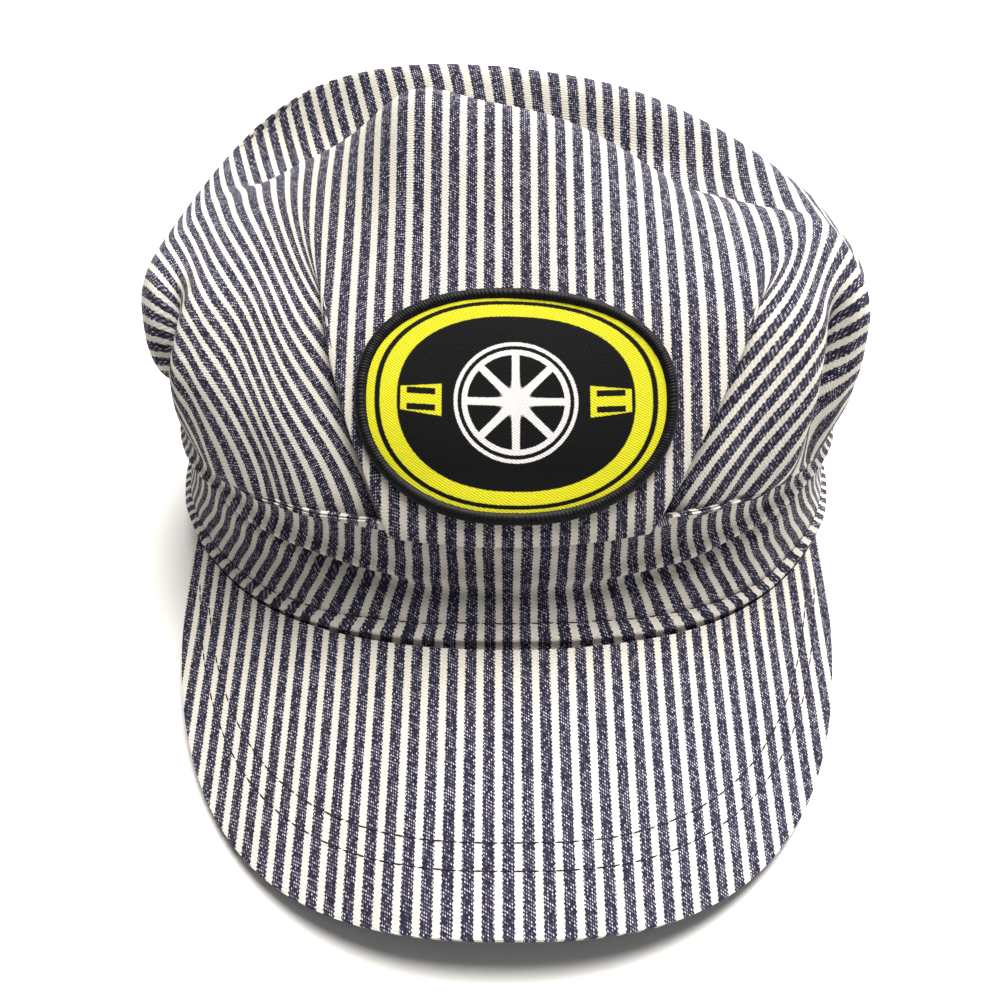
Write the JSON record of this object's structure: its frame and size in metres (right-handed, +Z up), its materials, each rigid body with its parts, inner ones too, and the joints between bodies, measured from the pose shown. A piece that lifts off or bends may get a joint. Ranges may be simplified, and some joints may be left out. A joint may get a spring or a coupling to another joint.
{
  "type": "railroad engineer cap",
  "caption": "Soft striped denim work cap with a pleated, puffed crown, an upright band, a stiff arched visor and an oval cloth patch, lying on its rim.",
  "frame": {"origin": "centre of the cap's footprint, on the table it lies on", "axes": "+Z up, -Y towards the front of the visor, +X to the right of someone looking at the front"},
  "size_m": [0.208, 0.258, 0.1267],
  "materials": {
    "striped_denim": "matte cotton twill, navy and cream hickory stripes",
    "patch_cloth": "matte printed twill, yellow with black and white",
    "border_thread": "black merrowed thread, slightly fuzzy"
  },
  "bodies": {
    "root": {"crown": "striped_denim", "band": "striped_denim", "visor": "striped_denim", "patch": "patch_cloth", "patch_border": "border_thread"}
  },
  "joints": []
}
